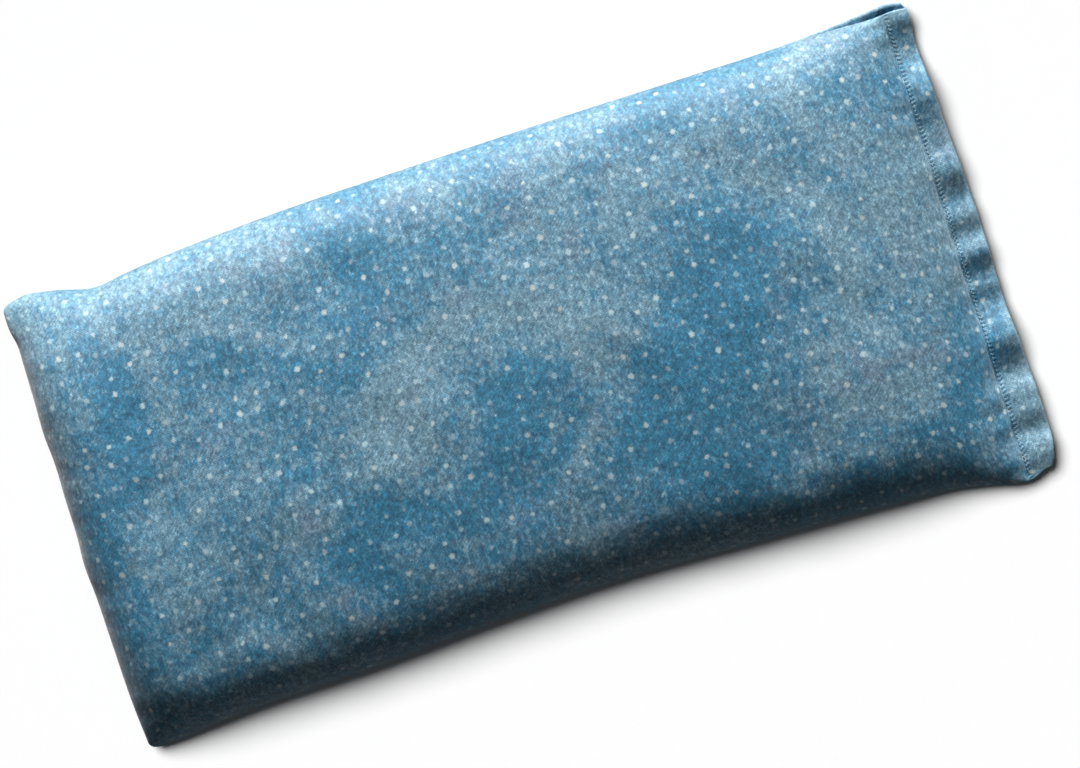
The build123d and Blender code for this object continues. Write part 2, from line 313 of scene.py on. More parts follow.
def belly_height(x, y, w, d):
    """Height of the lower panel over the body: flat where it rests on the floor."""
    from_end, to_pinch = x - end_edge(w), PINCH_X - x
    rim = seam_height(x, y, w) - RIM_RISE
    sides, end = (shoulder(distance, BELLY_SHOULDER, BELLY_BLUNTNESS) for distance in (d, from_end))
    fullness = sides * end * shoulder(to_pinch, *BELLY_CLOSING)
    rest = FLOOR + CLOTH / 2 + FLOOR_CLEARANCE
    return rim + (rest - rim) * fullness


def pucker(seed, place, distance):
    """Small in-and-out puckers along a seam, dying away from it."""
    return waves(seed, place, 0 * place, *PUCKER_WAVES) * np.exp(-distance / PUCKER_FADE)


def grid_cells(index):
    """The four corners of each cell of a grid of point numbers."""
    return np.stack([index[:-1, :-1], index[1:, :-1], index[1:, 1:], index[:-1, 1:]], -1)


# ---- cloth simulation
def simulated_lift():
    """Cloth simulation of the filled body: how far each place of the top rises or sinks, as a grid over it.

    The body is a closed bag, held at its seams and where it rests. Its cloth is slightly larger than the
    shape it covers, and pressure from the filling pushes it out until it settles into folds.
    """
    share, w = np.meshgrid(np.linspace(0, 1, SIM_COLUMNS), np.linspace(-1, 1, SIM_ROWS), indexing="ij")
    x = end_edge(w) + share * (PINCH_X - end_edge(w))
    y, width = across_body(x, w, 1)
    d = (1 - np.abs(w)) * width / 2
    rim = np.zeros(x.shape, bool)
    rim[[0, -1]] = rim[:, [0, -1]] = True
    seam = seam_height(x, y, w)
    top = np.where(rim, seam, top_height(x, y, w, d))
    belly = np.where(rim, seam, belly_height(x, y, w, d))
    upper = np.arange(x.size).reshape(x.shape)
    lower = np.where(rim, upper, upper + x.size)
    used = np.concatenate([upper.ravel(), lower[~rim]])
    renumber = np.full(2 * x.size, -1)
    renumber[used] = np.arange(len(used))
    points = np.concatenate([np.stack([x, y, h], -1).reshape(-1, 3) for h in (top, belly)])[used]
    faces = np.concatenate([grid_cells(upper).reshape(-1, 4), grid_cells(lower).reshape(-1, 4)[:, ::-1]])
    bag = make_mesh("bag", points, renumber[faces].tolist())
    held = bag.vertex_groups.new(name="held")
    resting = points[:, 2] < FLOOR + CLOTH
    resting[: x.size] |= rim.ravel()
    held.add(np.flatnonzero(resting).tolist(), 1.0, "REPLACE")
    cloth = bag.modifiers.new("cloth", "CLOTH")
    for key, value in SIM_CLOTH.items():
        setattr(cloth.settings, key, value)
    cloth.settings.vertex_group_mass = held.name
    cloth.settings.effector_weights.gravity = 0
    cloth.collision_settings.use_collision = False
    cloth.point_cache.frame_start, cloth.point_cache.frame_end = 1, SIM_FRAMES
    for step in range(1, SIM_FRAMES + 1):
        bpy.context.scene.frame_set(step)
    settled = bag.evaluated_get(bpy.context.evaluated_depsgraph_get()).data
    moved = np.zeros(len(settled.vertices) * 3)
    settled.vertices.foreach_get("co", moved)
    rise = moved.reshape(-1, 3)[: x.size, 2] / MM - points[: x.size, 2]
    bpy.data.meshes.remove(bag.data)
    bpy.context.scene.frame_set(1)
    return rise.reshape(x.shape)


def blurred(grid, reach):
    """A grid smoothed over a number of cells, with its edges kept."""
    steps = np.arange(-3 * reach, 3 * reach + 1)
    weights = np.exp(-0.5 * (steps / reach) ** 2)
    weights /= weights.sum()
    for axis in (0, 1):
        padded = np.pad(grid, [(3 * reach, 3 * reach) if a == axis else (0, 0) for a in (0, 1)], mode="edge")
        grid = np.apply_along_axis(np.convolve, axis, padded, weights, "valid")
    return grid


def settled_folds():
    """The simulation's small folds as a grid, without the swelling under them."""
    lift = simulated_lift()
    return FOLD_LIMIT * np.tanh(FOLD_SHARE * (lift - blurred(lift, SWELL_CELLS)) / FOLD_LIMIT)


def folds_at(x, w):
    """Height of the simulated folds at places on the top of the body, read with a smooth cubic spline."""
    if FOLDS is None:
        return 0 * x
    share = np.clip((x - end_edge(w)) / (PINCH_X - end_edge(w)), 0, 1)
    at = [share * (SIM_COLUMNS - 1), (np.clip(w, -1, 1) + 1) / 2 * (SIM_ROWS - 1)]
    cell = [np.floor(a).astype(int) for a in at]
    spline = []
    for a, i in zip(at, cell):
        f = a - i
        before, after = (3 * f**3 - 6 * f**2 + 4) / 6, (-3 * f**3 + 3 * f**2 + 3 * f + 1) / 6
        spline.append([(1 - f) ** 3 / 6, before, after, f**3 / 6])
    total = 0 * x
    for i in range(4):
        for j in range(4):
            row = np.clip(cell[0] + i - 1, 0, SIM_COLUMNS - 1)
            column = np.clip(cell[1] + j - 1, 0, SIM_ROWS - 1)
            total = total + spline[0][i] * spline[1][j] * FOLDS[row, column]
    return total


# ---- the two panels
def panel_grid(side):
    """Middle surface of one panel as a grid: x, y, z, the points to leave out, and the wear of its folds."""
    half = (REAR - FRONT) / 2
    half_rows = graded(half, *ROW_SPACING) / half
    body_w = np.concatenate([-1 + half_rows, (1 - half_rows[:-1])[::-1]])
    folds = len(FOLD)
    w = np.concatenate([np.full(folds, -1.0), body_w, np.full(folds, 1.0)])
    fold_row = np.concatenate([np.arange(folds, 0, -1), np.zeros(len(body_w), int), np.arange(1, folds + 1)])
    inset = np.array([0.0] + [p[0] for p in FOLD])
    rise = np.array([RIM_RISE] + [p[1] for p in FOLD])

    body_share = graded(PINCH_X - LEFT, *COLUMN_SPACING) / (PINCH_X - LEFT)
    flange_share = np.linspace(0, 1, FLANGE_COLUMNS + 1)[1:]
    turn = np.linspace(math.pi / 2, -math.pi / 2, TURN_COLUMNS + 1)[1:]
    hem_share = np.linspace(0, 1, HEM_COLUMNS + 1)[1:]
    counts = (folds, len(body_share), len(flange_share), len(turn), len(hem_share))
    starts = np.cumsum((0,) + counts)
    shape = (starts[-1], len(w))
    x, y, z, wear = (np.zeros(shape) for _ in range(4))
    outward = np.where(fold_row > 0, np.sign(w), 0)

    def tucked(fold_inset, room):
        """How far a folded row lies under the rim. Near a corner the deep ones are mitred short."""
        mitred = ROLL_DEPTH + (fold_inset - ROLL_DEPTH) * np.clip(room / MITRE, 0, 1)
        return np.where(fold_inset > ROLL_DEPTH, mitred, fold_inset)

    def place(columns, px):
        """Fills x and y of some columns, and gives y as it is before folding and the width there."""
        py, width = across_body(px, w, side)
        x[columns] = px
        y[columns] = py - outward * tucked(inset[fold_row], np.minimum(px - end_edge(w), PINCH_X - px))
        return py, width

    # The body.
    body = slice(starts[1], starts[2])
    px = end_edge(w)[None, :] + body_share[:, None] * (PINCH_X - end_edge(w))[None, :]
    py, width = place(body, px)
    d = (1 - np.abs(w)) * width / 2
    height = top_height(px, py, w, d) if side > 0 else belly_height(px, py, w, d)
    from_end, to_pinch = px - end_edge(w), PINCH_X - px
    if side > 0:
        from_rim = np.minimum(np.minimum(d, from_end), to_pinch)
        height = height + folds_at(px, w * np.ones_like(px)) * smooth(from_rim / FOLD_FADE)
    for (seed, tall, start), along, distance in zip(PUCKERS, (px, py, py), (d, from_end, to_pinch)):
        height = height + tall * pucker(seed, along, distance) * np.clip(distance / start, 0, 1)
    z[body] = np.where(fold_row == 0, height, seam_height(px, py, w) + side * rise[fold_row])

    # The edge turned in at the seamed end.
    start_x, row_y = end_edge(w), y[starts[1]]
    for column, (fold_inset, fold_rise) in zip(range(folds - 1, -1, -1), FOLD):
        x[column] = start_x + tucked(fold_inset, (1 - np.abs(w)) * half)
        y[column] = row_y
        z[column] = seam_height(start_x, row_y, w) + side * np.minimum(fold_rise, rise[fold_row])

    # The flange.
    flange = slice(starts[2], starts[3])
    edge_y = across_body(RIGHT - 2, w, side)[0]
    px = PINCH_X + flange_share[:, None] * (free_edge(edge_y, side) - PINCH_X)[None, :]
    from_stitch = np.abs(px - PINCH_X - STITCH_OFFSET)
    pulled = PINCH_RISE + (FLANGE_RISE - PINCH_RISE) * smooth(from_stitch / PULL_REACH)
    puff = FLANGE_PUFF * np.sin(math.pi * flange_share)[:, None]
    py = place(flange, px)[0]
    folded = rise[fold_row] - RIM_RISE
    z[flange] = flange_middle(px, py) + side * (pulled + puff + folded)

    # The fold at the free edge, and the hem inside.
    radius, centre = (FLANGE_RISE - LAYER_RISE) / 2, (FLANGE_RISE + LAYER_RISE) / 2
    last_x, last_y = x[starts[3] - 1], y[starts[3] - 1]
    middle = flange_middle(last_x, last_y)
    for column, angle in zip(range(starts[3], starts[4]), turn):
        x[column] = last_x + radius * math.cos(angle)
        y[column] = last_y
        z[column] = middle + side * np.minimum(centre + radius * math.sin(angle), FLANGE_RISE + folded)
    for column, share in zip(range(starts[4], starts[5]), hem_share):
        x[column] = last_x - share * HEM_END
        y[column] = last_y - np.sign(w) * HEM_INSET * smooth(share * 4) * np.abs(w)
        z[column] = flange_middle(np.maximum(x[column], PINCH_X), y[column]) + side * LAYER_RISE

    # Points that would double up inside the folded corners are left out.
    column_fold = np.zeros(starts[5], int)
    column_fold[:folds] = np.arange(folds, 0, -1)
    turned = len(ROLL)
    skip = (column_fold[:, None] > turned) & (fold_row[None, :] > turned)
    skip[starts[4] - 1 :] |= fold_row[None, :] > 0
    skip[starts[3] - 1 :] |= fold_row[None, :] > turned
    wear[:] = np.exp(-((1 - np.abs(w)) * HALF_WIDTH / WEAR_REACH)) * (fold_row <= turned)
    wear[: starts[1]] = np.maximum(wear[: starts[1]], (column_fold[: starts[1]] <= turned)[:, None])
    wear[body] = np.maximum(wear[body], np.exp(-from_end / WEAR_REACH))
    wear[starts[3] - 2 : starts[4]] = 1.0

    # Where the back layer shows beyond the front one, its folded edge curls up.
    if side < 0:
        peek = np.maximum(rear_edge(x, -1) - rear_edge(x, 1), 0.01)
        z += CURL * peek * (1 - smooth((rear_edge(x, -1) - y) / peek))
    return x, y, z, skip, wear


def lengths_along(x, y, z, axis, anchor):
    """Distance along the cloth in one direction of the grid, measured from an anchor line."""
    step = np.sqrt(sum(np.diff(c, axis=axis) ** 2 for c in (x, y, z)))
    passed = np.concatenate([np.zeros_like(np.take(step, [0], axis)), np.cumsum(step, axis)], axis)
    return passed - np.take(passed, [anchor], axis)


def make_mesh(name, points, faces, uvs=None):
    """A mesh object from points in millimetres, with named UV maps given for each point."""
    mesh = bpy.data.meshes.new(name)
    mesh.from_pydata((np.asarray(points) * MM).tolist(), [], faces)
    for uv_name, values in (uvs or {}).items():
        layer = mesh.uv_layers.new(name=uv_name)
        loops = np.zeros(len(mesh.loops), int)
        mesh.loops.foreach_get("vertex_index", loops)
        layer.data.foreach_set("uv", np.asarray(values, np.float32)[loops].ravel())
    mesh.shade_smooth()
    obj = bpy.data.objects.new(name, mesh)
    bpy.context.scene.collection.objects.link(obj)
    return obj


def baked(obj):
    """Applies every modifier of obj."""
    depsgraph = bpy.context.evaluated_depsgraph_get()
    made = bpy.data.meshes.new_from_object(obj.evaluated_get(depsgraph), depsgraph=depsgraph)
    old = obj.data
    obj.modifiers.clear()
    obj.data = made
    made.name = obj.name
    bpy.data.meshes.remove(old)
    return obj


def tidied(obj, distance=WELD_CLOTH):
    """Joins points closer than distance and makes the faces look outwards."""
    work = bmesh.new()
    work.from_mesh(obj.data)
    bmesh.ops.remove_doubles(work, verts=work.verts, dist=distance * MM)
    bmesh.ops.dissolve_degenerate(work, edges=work.edges, dist=distance * MM / 2)
    bmesh.ops.recalc_face_normals(work, faces=work.faces)
    work.to_mesh(obj.data)
    work.free()
    return obj


def panel(name, side):
    """One cotton panel as a closed sheet of cloth."""
    x, y, z, skip, wear = panel_grid(side)
    middle_column = int(np.argmin(np.abs(x[:, x.shape[1] // 2])))
    u = lengths_along(x, y, z, 0, middle_column)
    v = lengths_along(x, y, z, 1, x.shape[1] // 2)
    index = np.arange(x.size).reshape(x.shape)
    quads = grid_cells(index)[~grid_cells(skip).any(-1)]
    if side < 0:
        quads = quads[:, ::-1]
    points = np.stack([x, y, z], -1).reshape(-1, 3)
    used = np.unique(quads)
    renumber = np.full(len(points), -1)
    renumber[used] = np.arange(len(used))
    flat = np.stack([u, v], -1).reshape(-1, 2) * MM + PRINT_ORIGIN[side]
    marks = np.stack([(x - STITCH_X) / MARK_SCALE, wear], -1).reshape(-1, 2)
    obj = make_mesh(name, points[used], renumber[quads].tolist(), {"cloth": flat[used], "marks": marks[used]})
    tidied(obj)
    thick = obj.modifiers.new("cloth", "SOLIDIFY")
    thick.thickness = CLOTH * MM
    thick.offset = 0
    return baked(obj)


# ---- threads
def tube_faces(first, rings, sides):
    """Faces of a closed tube of rings of points, the first point numbered first."""
    made = []
    for ring in range(rings - 1):
        for side in range(sides):
            a, b = first + ring * sides + side, first + ring * sides + (side + 1) % sides
            made.append((a, b, b + sides, a + sides))
    made.append(tuple(range(first, first + sides))[::-1])
    made.append(tuple(range(first + (rings - 1) * sides, first + rings * sides)))
    return made


def stitches(name, starts, ends, ups, radius, sunk):
    """Separate stitches of two-ply thread: each lies on the cloth and dips into it at both ends."""
    along_share, lift = np.array(STITCH_PATH).T
    sides = STITCH_SIDES
    angles = np.arange(sides) / sides * 2 * math.pi
    points, faces, flat = [], [], []
    for start, end, up in zip(starts, ends, ups):
        run = end - start
        length = np.linalg.norm(run)
        ahead, up = run / length, up / np.linalg.norm(up)
        across = np.cross(ahead, up)
        rise = np.where(lift > 0, lift * radius * 0.9, lift * sunk)
        path = start + along_share[:, None] * run + rise[:, None] * up
        tangent = np.gradient(path, axis=0)
        tangent /= np.linalg.norm(tangent, axis=1, keepdims=True)
        outward = np.cross(across, tangent)
        first = len(points)
        for ring, (centre, normal) in enumerate(zip(path, outward)):
            twist = along_share[ring] * length * STITCH_TWIST
            spread = radius * (1 - PLY_GROOVE + PLY_GROOVE * np.abs(np.cos(angles - twist)))
            for angle, reach in zip(angles, spread):
                points.append(centre + reach * (math.cos(angle) * across + math.sin(angle) * normal))
                flat.append((along_share[ring] * length * MM, angle / (2 * math.pi)))
        faces += tube_faces(first, len(path), sides)
    return tidied(make_mesh(name, points, faces, {"cloth": flat}), WELD_THREAD)


def closing_stitches(name, side):
    """The line of topstitches that closes the cover, on one face of the flange."""
    low, high = front_edge(STITCH_X) + STITCH_STOPS[0], rear_edge(STITCH_X, 1) - STITCH_STOPS[1]
    rng = np.random.default_rng(41 if side > 0 else 42)
    places = np.arange(low, high, STITCH_PITCH)
    lateral = STITCH_X + STITCH_STRAY * rng.standard_normal(len(places))
    height = flange_middle(lateral, places) + side * (PINCH_RISE + CLOTH / 2 + STITCH_CLEARANCE)
    nodes = np.stack([lateral, places, height], -1)
    gap = np.array([0, STITCH_GAP, 0])
    ups = np.tile([0.0, 0.0, float(side)], (len(nodes) - 1, 1))
    return stitches(name, nodes[:-1] + gap, nodes[1:] - gap, ups, *STITCH_SECTION)


def hidden_stitches(name, side):
    """The hidden seam's stitches on the outside of one turned-in edge, round three sides."""
    height = side * (LAYER_RISE + CLOTH / 2 + SEAM_CLEARANCE)
    x = np.arange(LEFT + SEAM_STOP, PINCH_X - SEAM_STOP, SEAM_PITCH)
    lines = []
    for w, y in ((1.0, rear_edge(x, side) - SEAM_INSET), (-1.0, front_edge(x) + SEAM_INSET)):
        lines.append(np.stack([x, y, seam_height(x, y, w) + height], -1))
    w = np.arange(-SEAM_END_REACH, SEAM_END_REACH + 0.01, SEAM_PITCH / 54)
    x = end_edge(w) + SEAM_INSET
    y = across_body(x, w, side)[0]
    lines.append(np.stack([x, y, seam_height(x - SEAM_INSET, y, w) + height], -1))
    starts = np.concatenate([line[:-1] for line in lines])
    ends = np.concatenate([line[1:] for line in lines])
    gap = (ends - starts) * SEAM_GAP
    ups = np.tile([0.0, 0.0, float(side)], (len(starts), 1))
    return stitches(name, starts + gap, ends - gap, ups, *SEAM_SECTION)


# ---- filling
def bud_places():
    """Lavender buds spread through the seed: their middles, turns and tilts."""
    low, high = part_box("lavender_buds")
    centre = (np.array(low) + np.array(high)) / 2 / MM
    reach = (np.array(high) - np.array(low)) / 2 / MM - BUD_MARGIN
    golden = math.pi * (3 - math.sqrt(5))
    places = []
    for i in range(BUDS):
        out = math.sqrt((i + 0.5) / BUDS)
        x = centre[0] + reach[0] * out * math.cos(i * golden)
        y = centre[1] + reach[1] * out * math.sin(i * golden)
        z = FLOOR + BUD_HEIGHTS[i % 2]
        turn = Matrix.Rotation(0.93 * i, 3, "Z") @ Matrix.Rotation(0.4 * math.sin(i), 3, "Y")
        places.append((np.array([x, y, z]), np.array(turn)))
    return places


def bud_shape(grow, ribbed=True):
    """One dried lavender bud, ribbed along its length: points and faces."""
    profile = [(-2.3, 0.0), (-2.28, 0.32), (-2.0, 0.55), (-1.4, 0.8), (-0.6, 0.98), (0.3, 0.98), (1.1, 0.8),
               (1.7, 0.62), (2.1, 0.55), (2.3, 0.3), (2.32, 0.0)]
    sides = 20
    points = []
    for x, radius in profile[1:-1]:
        for side in range(sides):
            angle = side / sides * 2 * math.pi
            rib = 1 + (RIB_HEIGHT * math.cos(5 * angle) if ribbed else 0)
            out = (radius + grow) * rib
            points.append((x + math.copysign(grow, x), out * math.cos(angle), out * math.sin(angle)))
    return np.array(points), tube_faces(0, len(profile) - 2, sides)


def scattered(shape, places, flip=False):
    """Copies of a shape at every place, as points and faces."""
    base, faces = shape
    points, made = [], []
    for centre, turn in places:
        first = len(points) * len(base)
        points.append(base @ turn.T + centre)
        made += [tuple(first + i for i in (face[::-1] if flip else face)) for face in faces]
    return np.concatenate(points), made


def seed_filling(name):
    """The seed as one lumpy mass that fills the cover, with room for the turned-in edges and the buds."""
    spread = np.linspace(-1, 1, SEED_ROWS)
    share = np.linspace(0, 1, SEED_COLUMNS)[:, None]
    px = end_edge(0 * spread) + SEED_MARGIN + share * (PINCH_X - LEFT - SEED_SHORTER)
    low, high = front_edge(px), rear_edge(px, 1)
    half = (high - low) / 2
    py = (low + high) / 2 + spread * (half - SEED_MARGIN)
    w = (py - (low + high) / 2) / half
    d = (1 - np.abs(w)) * half
    gap = CLOTH / 2 + SEED_CLEARANCE
    grain = SEED_GRAIN * np.abs(waves(51, px, py, 2.2, 4.0, 60))
    from_rim = np.minimum(np.minimum(d, px - end_edge(w)), PINCH_X - px)
    top = top_height(px, py, w, d) + folds_at(px, w) * smooth(from_rim / FOLD_FADE) - gap - grain
    bottom = belly_height(px, py, w, d) + gap + 0.5 * grain
    along, across = np.minimum(share, 1 - share) * 190, (1 - np.abs(spread)) * 48  # distances to its rim
    rim = np.minimum(shoulder(along, SEED_SHOULDER), shoulder(across, SEED_SHOULDER))
    middle = (top + bottom) / 2
    top, bottom = middle + (top - middle) * rim, middle + (bottom - middle) * rim
    upper = grid_cells(np.arange(px.size).reshape(px.shape)).reshape(-1, 4)
    lower = upper[:, ::-1] + px.size
    points = np.concatenate([np.stack([px, py, h], -1).reshape(-1, 3) for h in (top, bottom)])
    obj = make_mesh(name, points, upper.tolist() + lower.tolist())
    tidied(obj, WELD_SEED)
    holes, hole_faces = scattered(bud_shape(BUD_ROOM, False), bud_places(), True)
    cavity = make_mesh(name + "_room", holes, hole_faces)
    work = bmesh.new()
    work.from_mesh(obj.data)
    work.from_mesh(cavity.data)
    work.to_mesh(obj.data)
    work.free()
    bpy.data.meshes.remove(cavity.data)
    obj.data.shade_smooth()
    return obj


# ---- materials
class Nodes:
    """A short way to write a node material."""

    def __init__(self, name):
        self.material = bpy.data.materials.new(name)
        self.material.use_nodes = True
        self.tree = self.material.node_tree
        self.shader = self.tree.nodes["Principled BSDF"]

    def link(self, value, socket):
        if isinstance(value, bpy.types.NodeSocket):
            self.tree.links.new(value, socket)
        else:
            socket.default_value = value

    def add(self, kind, inputs=(), out=0, **settings):
        node = self.tree.nodes.new("ShaderNode" + kind)
        for key, value in settings.items():
            setattr(node, key, value)
        for key, value in dict(inputs).items():
            self.link(value, node.inputs[key])
        return node.outputs[out]

    def math(self, operation, a, b=0.0, c=0.0, clamp=False):
        return self.add("Math", {0: a, 1: b, 2: c}, operation=operation, use_clamp=clamp)

    def mix(self, factor, a, b, blend="MIX"):
        return self.add("Mix", {0: factor, 6: a, 7: b}, out=2, data_type="RGBA", blend_type=blend)

    def band(self, value, low, high, start=0.0, end=1.0):
        """Value between low and high, mapped smoothly onto start to end."""
        inputs = {"Value": value, 1: low, 2: high, 3: start, 4: end}
        return self.add("MapRange", inputs, interpolation_type="SMOOTHSTEP")

    def noise(self, vector, scale, detail, roughness=0.5):
        inputs = {"Vector": vector, "Scale": scale, "Detail": detail, "Roughness": roughness}
        return self.add("TexNoise", inputs)

    def finished(self, sockets):
        """Sets the shader's sockets and gives the material."""
        for name, value in sockets.items():
            self.link(value, self.shader.inputs[name])
        return self.material


DEEP = (0.024, 0.212, 0.372, 1.0)
GREY = (0.188, 0.362, 0.475, 1.0)
PALE = (0.42, 0.66, 0.78, 1.0)
VIOLET = (0.20, 0.235, 0.36, 1.0)
SHADE = (DEEP[0] * 0.62, DEEP[1] * 0.5, DEEP[2] * 0.5, 1.0)
# painted shade for the needle dimples beside the topstitches
PAINTED_DIMPLE_SHADE = (DEEP[0] * 0.35, DEEP[1] * 0.4, DEEP[2] * 0.45, 1.0)
DOT_COOL, DOT_WARM = (0.64, 0.85, 0.91, 1.0), (0.76, 0.83, 0.77, 1.0)
# Noise fields of the print: (stretch both ways along the cloth, scale per mm, detail, roughness, distortion).
PRINT_NOISE = {
    "patch": (0.8, 0.85, 0.031, 3.0, 0.55, 0.6),
    "blot": (0.9, 1.0, 0.24, 3.0, 0.65, 0.0),
    "streak": (1.0, 0.38, 0.85, 3.0, 0.65, 0.0),
    "fleck": (1.0, 0.8, 0.75, 3.0, 0.72, 0.0),
    "violet": (1.0, 1.0, 0.06, 2.0, 0.5, 0.3),
    "shade": (0.9, 0.7, 0.9, 3.0, 0.72, 0.0),
    "speck": (1.0, 0.85, 1.35, 3.0, 0.8, 0.0),
    "tuft": (0.95, 0.8, 0.72, 4.0, 0.82, 0.0),
    "twill": (1.0, 1.0, 0.14, 2.0, 0.5, 0.0),
    "wobble": (1.0, 1.0, 1.4, 2.0, 0.5, 0.0),
    "needle": (1.0, 1.0, 0.35, 2.0, 0.6, 0.0),
    "wear": (1.0, 1.0, 0.55, 3.0, 0.6, 0.0),
    "fibre": (1.0, 1.0, 5.5, 3.0, 0.7, 0.0),
}
BREAK_UP = {"streak": 0.48, "fleck": 0.14, "blot": 0.48}  # how much each breaks up the edges of the patches
SPECK, TUFT = 1.9, 2.85  # how much each changes the brightness
TONE_SHARES = (1.2, 0.98, 0.87)  # the share of that change in red, green and blue
TWILL_PITCH = 1.06
DOT_PITCH, DOT_RANDOMNESS, DOT_SIZE, DOT_SIZE_RANGE = 5.2, 0.52, 0.40, 0.24
WEAVE_PITCH = 0.34


def cotton(name):
    """Printed plain-weave cotton: mottled blue and grey-blue, flecked, with small soft cream dots."""
    n = Nodes(name)
    uv = n.add("UVMap", uv_map="cloth")
    cloth = n.add("VectorMath", {0: uv, "Scale": 1 / MM}, operation="SCALE")  # millimetres along the cloth
    along = n.add("SeparateXYZ", {0: cloth})
    across = along.node.outputs[1]
    marks = n.add("SeparateXYZ", {0: n.add("UVMap", uv_map="marks")})
    past_stitch = n.math("MULTIPLY", marks.node.outputs[0], MARK_SCALE)
    wear = marks.node.outputs[1]

    def field(name, out=0):
        stretch_u, stretch_v, scale, detail, roughness, distortion = PRINT_NOISE[name]
        vector = n.add("VectorMath", {0: cloth, 1: (stretch_u, stretch_v, 1.0)}, operation="MULTIPLY")
        inputs = {"Vector": vector, "Scale": scale, "Detail": detail, "Roughness": roughness,
                  "Distortion": distortion}
        return n.add("TexNoise", inputs, out=out, noise_dimensions="2D")

    def centred(value):
        return n.math("SUBTRACT", value, 0.5)

    # Watercolour-like patches, broken up by fine streaks and flecks along the threads.
    fields = {key: field(key) for key in BREAK_UP}
    broken = field("patch")
    for key, share in BREAK_UP.items():
        broken = n.math("ADD", broken, n.math("MULTIPLY", centred(fields[key]), share))
    mottle = n.band(broken, 0.32, 0.71)
    base = n.mix(mottle, DEEP, GREY)
    violet = n.band(field("violet"), 0.56, 0.72, 0.0, 0.35)
    base = n.mix(n.math("MULTIPLY", violet, mottle), base, VIOLET)
    streaked = n.band(fields["streak"], 0.35, 0.65, 0.35, 1.0)
    light = n.math("MULTIPLY", n.band(fields["fleck"], 0.52, 0.80), streaked)
    base = n.mix(n.math("MULTIPLY", light, 0.45), base, PALE)
    base = n.mix(n.math("MULTIPLY", n.band(field("shade"), 0.44, 0.24), 0.40), base, SHADE)

    # Uneven yarn, light and dark, with a faint diagonal.
    twill = n.math("SINE", n.math("MULTIPLY", n.math("SUBTRACT", along, across), 2 * math.pi / TWILL_PITCH))
    uneven = n.math("MULTIPLY", twill, n.band(field("twill"), 0.35, 0.65, 0.02, 0.12))
    for key, share in (("tuft", TUFT), ("speck", SPECK)):
        uneven = n.math("MULTIPLY_ADD", centred(field(key)), share, uneven)
    tones = [n.math("EXPONENT", n.math("MULTIPLY_ADD", uneven, share, -0.02)) for share in TONE_SHARES]
    base = n.mix(1.0, base, n.add("CombineXYZ", dict(enumerate(tones))), "MULTIPLY")

    # Dots: a loose grid, no two alike in brightness.
    wobble = n.add("VectorMath", {0: field("wobble", 1), 1: (0.5, 0.5, 0.5)}, operation="SUBTRACT")
    wobble = n.add("VectorMath", {0: wobble, "Scale": 0.8}, operation="SCALE")
    dotted = n.add("VectorMath", {0: cloth, 1: wobble}, operation="ADD")
    dots = n.add("TexVoronoi", {"Vector": dotted, "Scale": 1 / DOT_PITCH, "Randomness": DOT_RANDOMNESS},
                 voronoi_dimensions="2D", feature="F1").node
    distance = n.math("MULTIPLY", dots.outputs["Distance"], DOT_PITCH)
    chance = n.add("SeparateXYZ", {0: dots.outputs["Color"]}).node.outputs
    size = n.math("MULTIPLY_ADD", chance[1], DOT_SIZE_RANGE, DOT_SIZE)
    dot = n.band(distance, n.math("ADD", size, 0.32), n.math("SUBTRACT", size, 0.28))
    strength = n.math("MULTIPLY_ADD", n.math("POWER", chance[0], 0.9), 0.70, 0.16)
    cream = n.mix(n.math("POWER", chance[2], 2.0), DOT_COOL, DOT_WARM)
    base = n.mix(n.math("MULTIPLY", dot, strength), base, cream)

    # Plain weave: each thread goes over one and under the next.
    phases = [n.math("MULTIPLY", place, math.pi / WEAVE_PITCH) for place in (along, across)]
    checker = n.math("MULTIPLY", *(n.math("SINE", phase) for phase in phases))
    crossing = n.math("MULTIPLY", *(n.math("ABSOLUTE", n.math("COSINE", phase)) for phase in phases))
    gaps = n.math("MULTIPLY_ADD", crossing, -0.20, 1.08)
    tone = n.math("MULTIPLY", n.math("MULTIPLY_ADD", checker, 0.10, 1.0), gaps)
    base = n.mix(1.0, base, n.add("CombineXYZ", {0: tone, 1: tone, 2: tone}), "MULTIPLY")

    # Painted shade in the needle dimples beside the topstitches, and rubbed, paler cloth along the folds.
    comb = n.math("SINE", n.math("MULTIPLY", across, 2 * math.pi / STITCH_PITCH))
    near = n.band(n.math("ABSOLUTE", n.math("SUBTRACT", past_stitch, 0.30)), 0.85, 0.15)
    near = n.math("MULTIPLY", near, n.band(field("needle"), 0.32, 0.62, 0.25, 1.0))
    tooth = n.math("MULTIPLY", near, comb)
    dimple_shade = n.math("MULTIPLY", near, n.band(comb, 0.2, 0.95))
    # painted shade: the cloth is darkened in the needle dimples
    base = n.mix(n.math("MULTIPLY", dimple_shade, 0.45), base, PAINTED_DIMPLE_SHADE)
    base = n.mix(n.math("MULTIPLY", wear, n.band(field("wear"), 0.30, 0.70, 0.06, 0.42)), base, PALE)

    # Relief.
    fibre = field("fibre")
    relief = n.math("MULTIPLY_ADD", checker, 0.25, n.math("MULTIPLY", fibre, 0.6))
    for value, share in ((crossing, -0.3), (fields["fleck"], 0.9), (tooth, 1.4)):
        relief = n.math("MULTIPLY_ADD", value, share, relief)
    bump = n.add("Bump", {"Height": relief, "Strength": 0.75, "Distance": 0.055 * MM})
    return n.finished({
        "Base Color": base, "Roughness": n.math("MULTIPLY_ADD", fibre, 0.18, 0.53), "Normal": bump,
        "Specular IOR Level": 0.9, "Sheen Weight": 0.55, "Sheen Roughness": 0.4,
        "Sheen Tint": (1.0, 0.96, 0.92, 1.0),
    })


